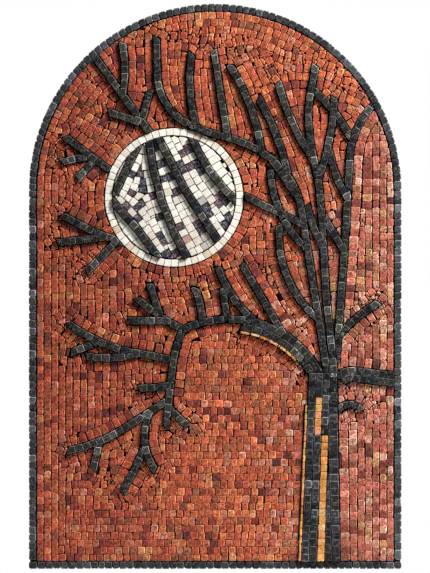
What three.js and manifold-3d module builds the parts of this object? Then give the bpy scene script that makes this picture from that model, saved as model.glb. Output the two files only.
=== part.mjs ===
// Arched wall mosaic of cut stone: a bare black tree in relief before a white moon, on a red field.
// The tesserae stand on one backing sheet. Those of the tree are taller than the rest, so it stands proud.
// Each solid here is one run or area of tesserae that touch. Millimetres, +Z up, the face looks along -Y.
import * as THREE from "three";
import { mergeVertices } from "three/addons/utils/BufferGeometryUtils.js";
import Module from "manifold-3d";

const wasm = await Module();
wasm.setup();

// Driving dimensions
const PANEL_WIDTH = 508;
const PANEL_HEIGHT = 770;
const TILE = 10; // pitch of the tesserae, joint included
const JOINT = 0.6; // open joint between runs of tesserae
const SHEET_THICKNESS = 3;
const SHEET_INSET = 1.5; // the sheet stops this far inside the border's outer edge
const FLAT_TILE_HEIGHT = 8; // border, red field and moon
const TREE_TILE_HEIGHT = 14; // trunk and boughs, so the relief is 6
const STRIP_WIDTH = 9.4; // one row of black tesserae
const GOLD_SLIVER_WIDTH = 3.6;
const MOON_CENTRE = [-56, 121];
const MOON_RADIUS = 94.5;
const DEGREES_PER_CHORD = 7; // how finely an arc is split into straight chords
const SHORTEST_CHORD = 7;
const ARCH_CHORDS = 60;
const MOON_CHORDS = 60;
const SMALLEST_RUN = 250; // cubic millimetres: less than half a tessera isn't set

// Worked out from those
const HALF_WIDTH = PANEL_WIDTH / 2;
const FOOT = -PANEL_HEIGHT / 2;
const SPRING = PANEL_HEIGHT / 2 - HALF_WIDTH; // where the straight sides become the arch
const BED = SHEET_THICKNESS;
const FLAT_FACE = BED + FLAT_TILE_HEIGHT;
const TREE_FACE = BED + TREE_TILE_HEIGHT;

// Finishes
const stone = (color, roughness) => new THREE.MeshStandardMaterial({ color, roughness, metalness: 0 });
const BLACK_STONE = stone(0x2e2e2d, 0.75);
const RED_STONE = stone(0xa94b30, 0.8);
const WHITE_STONE = stone(0xe6dfd2, 0.7);
const GOLD_STONE = stone(0xd09a50, 0.75);
const ADHESIVE_MESH = stone(0xb9b3a8, 0.9);

// Solids: a flat outline carried from one height above the wall to another
function solidOf(geometry) {
  geometry.deleteAttribute("normal");
  geometry.deleteAttribute("uv");
  const merged = mergeVertices(geometry, 1e-4);
  return new wasm.Manifold(
    new wasm.Mesh({
      numProp: 3,
      vertProperties: merged.attributes.position.array,
      triVerts: new Uint32Array(merged.index.array),
    }),
  );
}

function slab(outline, bottom, top) {
  const points = outline.map(([x, y]) => new THREE.Vector2(x, y));
  const geometry = new THREE.ExtrudeGeometry(new THREE.Shape(points), {
    depth: top - bottom,
    bevelEnabled: false,
  });
  return solidOf(geometry.translate(0, 0, bottom));
}

function join(solids) {
  return solids.reduce((whole, piece) => whole.add(piece));
}

// The arched outline, drawn in by inset
function archOutline(inset) {
  const radius = HALF_WIDTH - inset;
  const outline = [
    [-radius, FOOT + inset],
    [radius, FOOT + inset],
  ];
  for (let i = 0; i <= ARCH_CHORDS; i++) {
    const angle = (Math.PI * i) / ARCH_CHORDS;
    outline.push([radius * Math.cos(angle), SPRING + radius * Math.sin(angle)]);
  }
  return outline;
}

function discOutline([x, y], radius) {
  return Array.from({ length: MOON_CHORDS }, (_, i) => {
    const angle = (2 * Math.PI * i) / MOON_CHORDS;
    return [x + radius * Math.cos(angle), y + radius * Math.sin(angle)];
  });
}

// A limb's centre line: chords of the arcs [length, turn] that it runs through, from a start and a heading
function limbPath(start, heading, arcs) {
  const stations = [{ x: start[0], y: start[1], heading, along: 0 }];
  for (const [length, turn] of arcs) {
    const wanted = Math.min(Math.abs(turn) / DEGREES_PER_CHORD, length / SHORTEST_CHORD);
    const chords = Math.max(1, Math.round(wanted));
    const step = THREE.MathUtils.degToRad(turn / chords);
    const arc = length / chords;
    const chord = turn === 0 ? arc : (2 * arc * Math.sin(step / 2)) / step;
    for (let i = 0; i < chords; i++) {
      const last = stations[stations.length - 1];
      const middle = THREE.MathUtils.degToRad(last.heading) + step / 2;
      stations.push({
        x: last.x + chord * Math.cos(middle),
        y: last.y + chord * Math.sin(middle),
        heading: last.heading + turn / chords,
        along: last.along + arc,
      });
    }
  }
  return stations;
}

// The station a share of the way along a path
function stationAt(path, share) {
  const along = share * path[path.length - 1].along;
  const next = Math.max(1, path.findIndex((s) => s.along >= along - 1e-6));
  const [a, b] = [path[next - 1], path[next]];
  const t = (along - a.along) / (b.along - a.along);
  const mix = (key) => THREE.MathUtils.lerp(a[key], b[key], t);
  return { x: mix("x"), y: mix("y"), heading: mix("heading"), along };
}

// A row of tesserae along a path: its outline between two sidesteps to the left, with the tip cut on the slant.
// A row that is grown, to cut others clear of it, is wider on both sides and longer at the tip.
function stripOutline(path, rightSide, leftSide, slant, grown) {
  const [right, left] = [rightSide - grown, leftSide + grown];
  const side = (step, back) =>
    path.map(({ x, y, heading }, i) => {
      const angle = THREE.MathUtils.degToRad(heading);
      const pull = i === path.length - 1 ? back - 2 * grown : 0;
      return [
        x - step * Math.sin(angle) - pull * Math.cos(angle),
        y + step * Math.cos(angle) - pull * Math.sin(angle),
      ];
    });
  const back = slant * (left - right);
  return [...side(right, Math.max(0, back)), ...side(left, Math.max(0, -back)).reverse()];
}

function strip(path, slant, grown, bottom, top) {
  return slab(stripOutline(path, -STRIP_WIDTH / 2, STRIP_WIDTH / 2, slant, grown), bottom, top);
}

// The trunk: four columns at the fork, and a fifth let in lower down, where the foot flares
const FORK = -118;
const TRUNK_FOOT = [117, 170]; // left and right edge at the border
const TRUNK_FORK = [128, 166];
const FLARE_TOP = 0.62; // share of the trunk's height where the fifth column starts
const GOLD_STEP = 0.67; // share of the height where the gold stripe changes column
const GOLD_TOP = 0.87; // the stripe starts here
const EDGE_GOLD_TOP = 0.83; // and the gold slivers down the left edge here

const trunkHeight = (share) => THREE.MathUtils.lerp(FOOT + TILE + JOINT, FORK, share);

// Edge number of five columns at the foot, which joins edge number of four at the fork
function trunkEdge(atFoot, atFork) {
  const foot = THREE.MathUtils.lerp(...TRUNK_FOOT, atFoot / 5);
  const fork = THREE.MathUtils.lerp(...TRUNK_FORK, atFork / 4);
  return (share) => THREE.MathUtils.lerp(foot, fork, share);
}

const TRUNK_EDGES = [0, 1, 2, 3].map((n) => trunkEdge(n, n));
const TRUNK_RIGHT = trunkEdge(5, 4);
const FLARE_EDGE = (share) => {
  const foot = THREE.MathUtils.lerp(...TRUNK_FOOT, 4 / 5);
  return THREE.MathUtils.lerp(foot, TRUNK_EDGES[3](FLARE_TOP), share / FLARE_TOP);
};

function trunkColumn(left, right, from, to, kinks = []) {
  const shares = [from, ...kinks, to];
  const inner = JOINT / 2;
  const gap = inner / (trunkHeight(1) - trunkHeight(0));
  const rise = shares.map((s) => THREE.MathUtils.clamp(s, from + gap, to - gap));
  const rightSide = rise.map((s) => [right(s) - inner, trunkHeight(s)]);
  const leftSide = rise.map((s) => [left(s) + inner, trunkHeight(s)]);
  return slab([...rightSide, ...leftSide.reverse()], BED, TREE_FACE);
}

const lastColumnLeft = (share) => (share < FLARE_TOP ? FLARE_EDGE(share) : TRUNK_EDGES[3](share));
const edgeGoldLeft = (share) => TRUNK_EDGES[0](share) - GOLD_SLIVER_WIDTH - JOINT;

const trunk = {
  trunk_black_left: trunkColumn(TRUNK_EDGES[0], TRUNK_EDGES[1], 0, 1),
  trunk_black_inner: trunkColumn(TRUNK_EDGES[1], TRUNK_EDGES[2], 0, GOLD_STEP),
  trunk_gold_upper: trunkColumn(TRUNK_EDGES[1], TRUNK_EDGES[2], GOLD_STEP, GOLD_TOP),
  trunk_black_fork: trunkColumn(TRUNK_EDGES[1], TRUNK_EDGES[2], GOLD_TOP, 1),
  trunk_gold_lower: trunkColumn(TRUNK_EDGES[2], TRUNK_EDGES[3], 0, GOLD_STEP),
  trunk_black_middle: trunkColumn(TRUNK_EDGES[2], TRUNK_EDGES[3], GOLD_STEP, 1),
  trunk_black_flare: trunkColumn(TRUNK_EDGES[3], FLARE_EDGE, 0, FLARE_TOP * 0.85),
  trunk_black_right: trunkColumn(lastColumnLeft, TRUNK_RIGHT, 0, 1, [FLARE_TOP]),
  trunk_gold_edge: trunkColumn(edgeGoldLeft, TRUNK_EDGES[0], 0, EDGE_GOLD_TOP),
};

// Boughs: start, heading in degrees from +X, arcs [length, turn], and twigs [share along, turn off, length, turn].
// They are set in this order, and each is cut to fit those before it.
const BOUGHS = {
  great_bough: {
    start: [143, -118],
    heading: 120,
    arcs: [[40, 14], [95, 40], [84, 32]],
    twigs: [[0.34, -32, 112, 8], [0.52, -24, 96, -34], [0.7, -76, 46, -14], [0.86, -104, 52, 26]],
    beside: { side: 1, to: 0.62 },
  },
  middle_bough: {
    start: [152.5, -118],
    heading: 99,
    arcs: [[225, 0], [80, 42], [72, 26], [52, -12], [82, -62], [56, -4]],
    twigs: [
      [0.13, 42, 148, -58], [0.3, 40, 128, -50], [0.36, 55, 92, 0], [0.42, 22, 78, -8],
      [0.48, -22, 120, 18], [0.57, -50, 130, 26], [0.66, -70, 122, 6], [0.74, -52, 104, -24],
    ],
  },
  inner_bough: {
    start: [162, -118],
    heading: 98,
    arcs: [[110, -4], [100, -2], [90, 12], [100, -28], [24, 8]],
    twigs: [[0.4, 26, 66, -16], [0.62, -30, 118, 20], [0.68, 22, 122, -20]],
  },
  right_bough: {
    start: [165, -104],
    heading: 87,
    arcs: [[190, -2], [86, 4], [86, -46]],
    twigs: [[0.1, -36, 74, -22], [0.42, 38, 58, -6], [0.62, 36, 74, -24], [0.84, 44, 96, 22]],
  },
  side_bough: { start: [166, -124], heading: 50, arcs: [[24, -52], [70, -10]], twigs: [], beside: { side: -1, to: 1 } },
  hook_twig: { start: [167, -168], heading: 46, arcs: [[14, -32], [24, -74]], twigs: [] },
  drooping_bough: {
    start: [-42, -54],
    heading: 244,
    arcs: [[66, 22], [78, -4]],
    twigs: [[0.58, -74, 46, -12], [0.78, 44, 40, 18]],
  },
  knee_spray: {
    start: [-46, -58],
    heading: 154,
    arcs: [[76, -18]],
    twigs: [[0.3, 36, 54, -10], [0.44, -40, 50, 4]],
  },
  drooping_upper_spray: {
    start: [-58, -100],
    heading: 174,
    arcs: [[72, -10], [84, -22]],
    twigs: [[0.3, 30, 76, -30], [0.66, 42, 44, 6]],
  },
  drooping_lower_spray: {
    start: [-60, -152],
    heading: 214,
    arcs: [[78, -2], [84, -22]],
    twigs: [[0.22, 34, 86, 60], [0.7, 50, 42, 8]],
  },
  low_spray: { start: [-96, -218], heading: 250, arcs: [[72, -14]], twigs: [] },
  left_spray: {
    start: [-116, 56],
    heading: 164,
    arcs: [[104, -16]],
    twigs: [[0.32, 30, 70, -4], [0.18, 62, 62, 6]],
  },
  left_high_spray: {
    start: [-128, 146],
    heading: 146,
    arcs: [[98, -6]],
    twigs: [[0.52, 42, 44, 12], [0.46, 84, 38, 4]],
  },
  arch_spray: {
    start: [-86, 205],
    heading: 122,
    arcs: [[148, 8]],
    twigs: [[0.14, 36, 52, 6], [0.46, -46, 74, 22], [0.16, -50, 46, 4]],
  },
};

const TIP_SLANT = 0.55;
const BETWEEN_FACES = [BED - 1, TREE_FACE + 1]; // a cutter reaches past both faces

// The stretch of a path between two shares of its length
function stretch(path, from, to) {
  const [first, last] = [stationAt(path, from), stationAt(path, to)];
  const between = path.filter((s) => s.along > first.along + JOINT && s.along < last.along - STRIP_WIDTH);
  return [first, ...between, last];
}

function boughSolid({ start, heading, arcs, twigs }, grown, bottom, top) {
  const path = limbPath(start, heading, arcs);
  const rows = [strip(path, TIP_SLANT, grown, bottom, top)];
  twigs.forEach(([share, turnOff, length, turn], i) => {
    const { x, y, heading: along } = stationAt(path, share);
    const twig = limbPath([x, y], along + turnOff, [[length, turn]]);
    rows.push(strip(twig, i % 2 ? TIP_SLANT : -TIP_SLANT, grown, bottom, top));
  });
  return join(rows);
}

// A second row of tesserae laid against one side of a bough's root
function secondRow({ start, heading, arcs, beside }, grown, bottom, top) {
  const row = stretch(limbPath(start, heading, arcs), 0, beside.to);
  const middle = beside.side * (STRIP_WIDTH + JOINT);
  const half = STRIP_WIDTH / 2;
  return slab(stripOutline(row, middle - half, middle + half, beside.side * TIP_SLANT, grown), bottom, top);
}

// Whole bodies of a solid, largest first, without crumbs
function runs(solid) {
  return solid
    .decompose()
    .filter((piece) => piece.volume() > SMALLEST_RUN)
    .sort((a, b) => b.volume() - a.volume());
}

const numbered = (name, pieces) =>
  pieces.map((piece, i) => [pieces.length > 1 ? `${name}_${i + 1}` : name, piece]);

// The border and the moon's rim are set first, and what comes after is cut to them
const insideBorder = slab(archOutline(TILE + JOINT), ...BETWEEN_FACES);
const moonCutter = slab(discOutline(MOON_CENTRE, MOON_RADIUS + JOINT), ...BETWEEN_FACES);
const insideRim = slab(discOutline(MOON_CENTRE, MOON_RADIUS - TILE - JOINT), ...BETWEEN_FACES);

const trunkOutline = [
  [edgeGoldLeft(0) - JOINT, FOOT],
  [TRUNK_FOOT[1] + JOINT, FOOT],
  [TRUNK_FORK[1] + JOINT, FORK + JOINT],
  [TRUNK_FORK[0] - JOINT, FORK + JOINT],
  [TRUNK_EDGES[0](EDGE_GOLD_TOP) - JOINT, trunkHeight(EDGE_GOLD_TOP)],
  [edgeGoldLeft(EDGE_GOLD_TOP) - JOINT, trunkHeight(EDGE_GOLD_TOP)],
];

const boughs = [];
let treeCutter = slab(trunkOutline, ...BETWEEN_FACES);

function setRow(name, solid, cutter) {
  const fitted = solid.intersect(insideBorder).subtract(treeCutter).subtract(moonCutter);
  boughs.push(...numbered(name, runs(fitted)));
  treeCutter = treeCutter.add(cutter);
}

for (const [name, bough] of Object.entries(BOUGHS)) {
  setRow(name, boughSolid(bough, 0, BED, TREE_FACE), boughSolid(bough, JOINT, ...BETWEEN_FACES));
  if (!bough.beside) continue;
  const row = secondRow(bough, 0, BED, TREE_FACE);
  setRow(`${name}_second_row`, row, secondRow(bough, JOINT, ...BETWEEN_FACES));
}

// Gold slivers along the underside of the great bough
const { start, heading, arcs, beside } = BOUGHS.great_bough;
const goldPath = stretch(limbPath(start, heading, arcs), 0.16, beside.to);
const goldNear = 1.5 * STRIP_WIDTH + 2 * JOINT;
const goldRow = (grown, bottom, top) =>
  slab(stripOutline(goldPath, goldNear, goldNear + GOLD_SLIVER_WIDTH, 0, grown), bottom, top);
setRow("bough_gold_edge", goldRow(0, BED, TREE_FACE), goldRow(JOINT, ...BETWEEN_FACES));

// Branches inside the moon, from one point of its rim to another: angles in degrees, bend, and share of the way
const MOON_BRANCHES = [
  [106, -46, 12, 1],
  [112, -76, 26, 1],
  [117, 190, -8, 0.78],
  [78, -8, 30, 1],
  [176, -98, -12, 1],
];

function moonPath(from, to, bend, share) {
  const [a, b] = [from, to].map((degrees) => {
    const angle = THREE.MathUtils.degToRad(degrees);
    return new THREE.Vector2(...MOON_CENTRE).add(
      new THREE.Vector2(Math.cos(angle), Math.sin(angle)).multiplyScalar(MOON_RADIUS),
    );
  });
  const chord = b.clone().sub(a);
  const half = THREE.MathUtils.degToRad(bend / 2);
  const length = (chord.length() * half) / Math.sin(half);
  const heading = THREE.MathUtils.radToDeg(chord.angle()) - bend / 2;
  return limbPath([a.x, a.y], heading, [[length * share, bend * share]]);
}

const moonBranches = [];
let moonTreeCutter;
MOON_BRANCHES.forEach((branch, i) => {
  const path = moonPath(...branch);
  let fitted = strip(path, TIP_SLANT, 0, BED, TREE_FACE).intersect(insideRim);
  if (moonTreeCutter) fitted = fitted.subtract(moonTreeCutter);
  const cutter = strip(path, TIP_SLANT, JOINT, ...BETWEEN_FACES);
  moonTreeCutter = moonTreeCutter ? moonTreeCutter.add(cutter) : cutter;
  moonBranches.push(...numbered(`moon_branch_${i + 1}`, runs(fitted)));
});

const disc = slab(discOutline(MOON_CENTRE, MOON_RADIUS - TILE - JOINT), BED, FLAT_FACE);
const moonAreas = numbered("moon_field", runs(disc.subtract(moonTreeCutter)));
const moonRim = slab(discOutline(MOON_CENTRE, MOON_RADIUS), BED, FLAT_FACE).subtract(
  slab(discOutline(MOON_CENTRE, MOON_RADIUS - TILE), ...BETWEEN_FACES),
);

const field = slab(archOutline(TILE + JOINT), BED, FLAT_FACE).subtract(treeCutter).subtract(moonCutter);
const fieldAreas = numbered("red_field", runs(field));

// The border: one row of black tesserae round the edge
function borderSide(left) {
  const outline = [
    [left, FOOT + TILE + JOINT],
    [left + TILE, FOOT + TILE + JOINT],
    [left + TILE, SPRING - JOINT],
    [left, SPRING - JOINT],
  ];
  return slab(outline, BED, FLAT_FACE);
}

function borderArch() {
  const arc = (radius) =>
    Array.from({ length: ARCH_CHORDS + 1 }, (_, i) => {
      const angle = (Math.PI * i) / ARCH_CHORDS;
      return [radius * Math.cos(angle), SPRING + radius * Math.sin(angle)];
    });
  return slab([...arc(HALF_WIDTH), ...arc(HALF_WIDTH - TILE).reverse()], BED, FLAT_FACE);
}

const foot = [
  [-HALF_WIDTH, FOOT],
  [HALF_WIDTH, FOOT],
  [HALF_WIDTH, FOOT + TILE],
  [-HALF_WIDTH, FOOT + TILE],
];
const border = {
  border_foot: slab(foot, BED, FLAT_FACE),
  border_left: borderSide(-HALF_WIDTH),
  border_right: borderSide(HALF_WIDTH - TILE),
  border_arch: borderArch(),
};

const panel = new THREE.Group();
panel.rotation.x = Math.PI / 2; // drawn flat, then stood up with its face to -Y

function addMesh(name, solid, material) {
  const { vertProperties, triVerts } = solid.getMesh();
  const geometry = new THREE.BufferGeometry();
  geometry.setAttribute("position", new THREE.BufferAttribute(vertProperties, 3));
  geometry.setIndex(new THREE.BufferAttribute(triVerts, 1));
  const mesh = new THREE.Mesh(geometry, material);
  mesh.name = name;
  panel.add(mesh);
}

addMesh("backing_sheet", slab(archOutline(SHEET_INSET), 0, BED), ADHESIVE_MESH);
for (const [name, solid] of Object.entries(border)) addMesh(name, solid, BLACK_STONE);
for (const [name, solid] of [...Object.entries(trunk), ...boughs, ...moonBranches])
  addMesh(name, solid, name.includes("gold") ? GOLD_STONE : BLACK_STONE);
for (const [name, solid] of fieldAreas) addMesh(name, solid, RED_STONE);
addMesh("moon_rim", moonRim, WHITE_STONE);
for (const [name, solid] of moonAreas) addMesh(name, solid, WHITE_STONE);

export default panel;
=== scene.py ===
import math

import bpy
import numpy as np
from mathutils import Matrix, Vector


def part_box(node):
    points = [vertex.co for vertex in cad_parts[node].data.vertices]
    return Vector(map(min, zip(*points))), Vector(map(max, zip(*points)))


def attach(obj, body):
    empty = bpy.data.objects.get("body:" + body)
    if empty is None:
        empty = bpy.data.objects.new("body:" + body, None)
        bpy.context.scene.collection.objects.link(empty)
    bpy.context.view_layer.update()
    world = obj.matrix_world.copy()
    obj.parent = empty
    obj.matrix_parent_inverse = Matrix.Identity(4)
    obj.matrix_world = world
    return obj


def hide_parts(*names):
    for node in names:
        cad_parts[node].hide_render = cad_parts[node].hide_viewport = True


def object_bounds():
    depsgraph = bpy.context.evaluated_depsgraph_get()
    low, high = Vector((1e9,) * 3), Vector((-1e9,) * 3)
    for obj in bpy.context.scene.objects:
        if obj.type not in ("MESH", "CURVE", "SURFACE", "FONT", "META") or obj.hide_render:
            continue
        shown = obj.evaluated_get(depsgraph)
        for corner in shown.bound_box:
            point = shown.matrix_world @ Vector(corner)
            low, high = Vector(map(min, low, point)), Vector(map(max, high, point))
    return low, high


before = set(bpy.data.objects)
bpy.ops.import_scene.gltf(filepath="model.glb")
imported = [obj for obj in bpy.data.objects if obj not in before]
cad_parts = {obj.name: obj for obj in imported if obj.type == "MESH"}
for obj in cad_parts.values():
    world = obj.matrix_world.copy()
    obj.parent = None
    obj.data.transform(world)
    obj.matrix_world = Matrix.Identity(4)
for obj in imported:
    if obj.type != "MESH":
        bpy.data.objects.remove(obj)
cad_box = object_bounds()

# Camera: square on to the face, far enough off that the edges of the panel stay hidden behind its front.
# The picture is 430 by 573, and the panel fills it from the second pixel row to the last but three.
PICTURE = np.array([430.0, 573.0])
PANEL_CENTRE_PIXEL = np.array([215.2, 286.3])
CAMERA_DISTANCE = 5.0
SENSOR = 36.0
panel_width = cad_box[1][0] - cad_box[0][0]
PANEL_PIXELS = 373.5
metres_per_pixel = panel_width / PANEL_PIXELS
face_distance = CAMERA_DISTANCE + cad_box[0][1]
camera_data = bpy.data.cameras.new("camera")
camera_data.sensor_fit = "VERTICAL"
camera_data.sensor_height = SENSOR
camera_data.sensor_width = SENSOR
camera_data.lens = SENSOR * face_distance / (metres_per_pixel * PICTURE[1])
camera = bpy.data.objects.new("camera", camera_data)
bpy.context.scene.collection.objects.link(camera)
off_centre = (PICTURE / 2 - PANEL_CENTRE_PIXEL) * metres_per_pixel
camera.location = (off_centre[0], -CAMERA_DISTANCE, -off_centre[1])
camera.rotation_euler = (math.pi / 2, 0, 0)
bpy.context.scene.camera = camera

# Light: a square lamp high on the right, which throws the tree's shadow down and to the left, a larger and
# weak one from the left, one behind for the back, and a white room all round.
bpy.context.scene.view_settings.view_transform = "Standard"


def soft_lamp(name, place, size, watts):
    """A square area lamp that looks at the middle of the panel."""
    data = bpy.data.lights.new(name, "AREA")
    data.shape = "SQUARE"
    data.size = size
    data.energy = watts
    lamp = bpy.data.objects.new(name, data)
    bpy.context.scene.collection.objects.link(lamp)
    lamp.location = place
    lamp.rotation_euler = (-lamp.location).to_track_quat("-Z", "Y").to_euler()


soft_lamp("key_lamp", place=(1.05, -1.2, 1.4), size=0.5, watts=85)
soft_lamp("fill_lamp", place=(-1.6, -2.6, 0.4), size=1.6, watts=2)
soft_lamp("back_lamp", place=(-1.7, 2.2, 1.5), size=1.2, watts=85)

world = bpy.data.worlds.new("white_room")
bpy.context.scene.world = world
world.use_nodes = True
room = world.node_tree
room.nodes.clear()
sky = room.nodes.new("ShaderNodeBackground")
sky.inputs["Color"].default_value = (1, 1, 1, 1)
seen = room.nodes.new("ShaderNodeLightPath")
strength = room.nodes.new("ShaderNodeMapRange")
ROOM_FILL = 0.055
strength.inputs["To Min"].default_value = ROOM_FILL
strength.inputs["To Max"].default_value = 1.0
room_out = room.nodes.new("ShaderNodeOutputWorld")
room.links.new(seen.outputs["Is Camera Ray"], strength.inputs["Value"])
room.links.new(strength.outputs["Result"], sky.inputs["Strength"])
room.links.new(sky.outputs["Background"], room_out.inputs["Surface"])

# Floor: a pale sheet a little below the panel, which hangs clear of it.
FLOOR_DROP = 0.1
FLOOR_SIZE = 0.6
floor_mesh = bpy.data.meshes.new("floor")
corners = np.array([[-1, -1, 0], [1, -1, 0], [1, 1, 0], [-1, 1, 0]]) * FLOOR_SIZE
corners[:, 2] = cad_box[0][2] - FLOOR_DROP
floor_mesh.from_pydata(corners.tolist(), [], [(0, 1, 2, 3)])
floor = bpy.data.objects.new("floor", floor_mesh)
bpy.context.scene.collection.objects.link(floor)
floor_paint = bpy.data.materials.new("floor_paint")
floor_paint.use_nodes = True
floor_surface = floor_paint.node_tree.nodes["Principled BSDF"]
floor_surface.inputs["Base Color"].default_value = (0.93, 0.93, 0.93, 1)
floor_surface.inputs["Roughness"].default_value = 0.7
floor_surface.inputs["Emission Color"].default_value = (1, 1, 1, 1)
floor_surface.inputs["Emission Strength"].default_value = 0.15
floor_mesh.materials.append(floor_paint)


# Border: one row of tumbled black marble tesserae round the edge, cut from a rod of about 10 mm and glued
# to the sheet. Each is its own small block with worn corners, so the panel's outline is finely toothed.
# The functions that read an area's outline and lay tesserae in it are here, where they are first used.
MM = 0.001
PITCH = 10.0 * MM
SEED = 12
chance = np.random.default_rng(SEED)
FLATNESS = 1e-5
TO_MICRONS = 1e6


def outline_of(name):
    """Edges of a node's front face, as seen from the front: (edges, 2 ends, x and z), with the area to the
    left of each edge. An edge is on the outline if only one front triangle has it."""
    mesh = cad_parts[name].data
    mesh.calc_loop_triangles()
    points = np.empty(len(mesh.vertices) * 3)
    mesh.vertices.foreach_get("co", points)
    points = points.reshape(-1, 3)
    corners = np.empty(len(mesh.loop_triangles) * 3, int)
    mesh.loop_triangles.foreach_get("vertices", corners)
    triangles = points[corners].reshape(-1, 3, 3)
    front = points[:, 1].min() + FLATNESS
    flat = triangles[(triangles[:, :, 1] < front).all(1)][:, :, [0, 2]]
    edges = np.stack([flat, np.roll(flat, -1, 1)], 2).reshape(-1, 2, 2)
    keys = np.round(edges * TO_MICRONS).astype(int).reshape(-1, 4)
    ours = {tuple(key) for key in keys}
    alone = [tuple(key[[2, 3, 0, 1]]) not in ours for key in keys]
    return edges[alone]


def loops_of(edges):
    """The outline's edges put in order, nose to tail: a list of arrays of edges, one for each closed loop."""
    starts = {tuple(key): i for i, key in enumerate(np.round(edges[:, 0] * TO_MICRONS).astype(int))}
    ends = np.round(edges[:, 1] * TO_MICRONS).astype(int)
    left = set(range(len(edges)))
    loops = []
    while left:
        chain = []
        here = min(left)
        while here in left:
            left.discard(here)
            chain.append(here)
            here = starts[tuple(ends[here])]
        loops.append(edges[chain])
    return loops


def heading_of(edges):
    run = edges[:, 1] - edges[:, 0]
    return np.arctan2(run[:, 1], run[:, 0])


def inward(edges):
    """Unit normals of the edges that point into the area, to the left of each."""
    run = edges[:, 1] - edges[:, 0]
    run = run / np.linalg.norm(run, axis=1, keepdims=True)
    return np.stack([-run[:, 1], run[:, 0]], 1)


def nearest_on(points, edges):
    """For each point and edge: the way to the edge's nearest point, how far along the edge it lies from 0 to
    1, and the signed distance to the edge's line, more than 0 on the inside."""
    run = edges[:, 1] - edges[:, 0]
    to_point = points[:, None] - edges[None, :, 0]
    along = (to_point * run).sum(2) / (run ** 2).sum(1)
    foot = edges[None, :, 0] + np.clip(along, 0, 1)[..., None] * run
    return foot - points[:, None], along, (to_point * inward(edges)).sum(2)


def inside(points, edges):
    """Whether each point is in the area: a ray from it to the right crosses the outline an odd number of
    times."""
    a, b = edges[None, :, 0], edges[None, :, 1]
    x, z = points[:, None, 0], points[:, None, 1]
    spans = (a[..., 1] > z) != (b[..., 1] > z)
    rise = np.where(spans, b[..., 1] - a[..., 1], 1)
    cross = a[..., 0] + (z - a[..., 1]) * (b[..., 0] - a[..., 0]) / rise
    return (spans & (cross > x)).sum(1) % 2 == 1


UNEVENNESS = 0.14


def course(loop, offset, pitch):
    """Places for a row of tesserae that follows a loop at a distance inside it: points along its length,
    a pitch apart give or take the unevenness, each pushed in along its edge's normal. Returns x, z, angle."""
    lengths = np.linalg.norm(loop[:, 1] - loop[:, 0], axis=1)
    ends = np.cumsum(lengths)
    count = max(1, round(ends[-1] / pitch))
    steps = 1 + UNEVENNESS * chance.uniform(-1, 1, count)
    stops = (np.cumsum(steps) - 0.5 * steps) / steps.sum() * ends[-1]
    at = np.minimum(np.searchsorted(ends, stops), len(loop) - 1)
    share = (stops - (ends - lengths)[at]) / lengths[at]
    on_edge = loop[at, 0] + share[:, None] * (loop[at, 1] - loop[at, 0])
    return np.column_stack([on_edge + offset * inward(loop)[at], heading_of(loop)[at]])


def stretches(loop, chosen):
    """The unbroken stretches of a loop whose edges are chosen, each as an array of edges in order."""
    if chosen.all():
        return [loop]
    first = np.flatnonzero(~chosen)[0]
    loop, chosen = np.roll(loop, -first, 0), np.roll(chosen, -first)
    breaks = np.flatnonzero(np.diff(chosen.astype(int))) + 1
    return [run for run, keep in zip(np.split(loop, breaks), np.split(chosen, breaks)) if keep[0]]


SWAY = 0.035


def rows_across(edges, angle, start, pitch):
    """Places for straight rows at an angle that cover an area, a pitch apart from the start point, with the
    tesserae of each row a pitch apart give or take, and each row begun at its own place."""
    ways = np.array([[math.cos(angle), math.sin(angle)], [-math.sin(angle), math.cos(angle)]])
    reach = (edges.reshape(-1, 2) - start) @ ways.T
    low, high = reach.min(0) - pitch, reach.max(0) + pitch
    rows = np.arange(math.floor(low[1] / pitch), math.ceil(high[1] / pitch) + 1) + 0.5
    count = math.ceil((high[0] - low[0]) / pitch) + 2
    steps = 1 + UNEVENNESS * chance.uniform(-1, 1, (len(rows), count))
    along = low[0] + pitch * (np.cumsum(steps, 1) - chance.uniform(0, 1, (len(rows), 1)))
    across = np.broadcast_to(rows[:, None] * pitch, along.shape)
    across = across + SWAY * pitch * chance.normal(size=along.shape)
    flat = np.stack([along, across], 2).reshape(-1, 2) @ ways + start
    return np.column_stack([flat, angle + SWAY * chance.normal(size=len(flat))])


COURSE, ROW, STOP = 0, 1, 2
NEIGHBOURS, EDGES, CAPS = 18, 10, 4
EDGE_SLACK = 0.02


def settle(candidates, rank, edges, taken, apart, clear):
    """Takes candidates in order, each only if it is in the area, clear of its outline and apart from all
    that are taken already, along one of their axes. Returns all that are taken: x, z, angle, rank, and the
    room round a stop, if the candidates give it."""
    candidates = candidates[inside(candidates[:, :2], edges)]
    to_edge, _, _ = nearest_on(candidates[:, :2], edges)
    candidates = candidates[(to_edge ** 2).sum(2).min(1) >= clear ** 2]
    candidates = np.column_stack([candidates, np.zeros(len(candidates))])[:, :4]
    kept = np.empty((len(taken) + len(candidates), 5))
    kept[:len(taken)] = taken
    count = len(taken)
    for x, z, angle, room in candidates:
        right, up = x - kept[:count, 0], z - kept[:count, 1]
        cosine, sine = np.cos(kept[:count, 2]), np.sin(kept[:count, 2])
        gaps = np.maximum(np.abs(right * cosine + up * sine), np.abs(up * cosine - right * sine))
        if count == 0 or gaps.min() >= apart:
            kept[count] = x, z, angle, rank, room
            count += 1
    return kept[:count]


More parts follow.
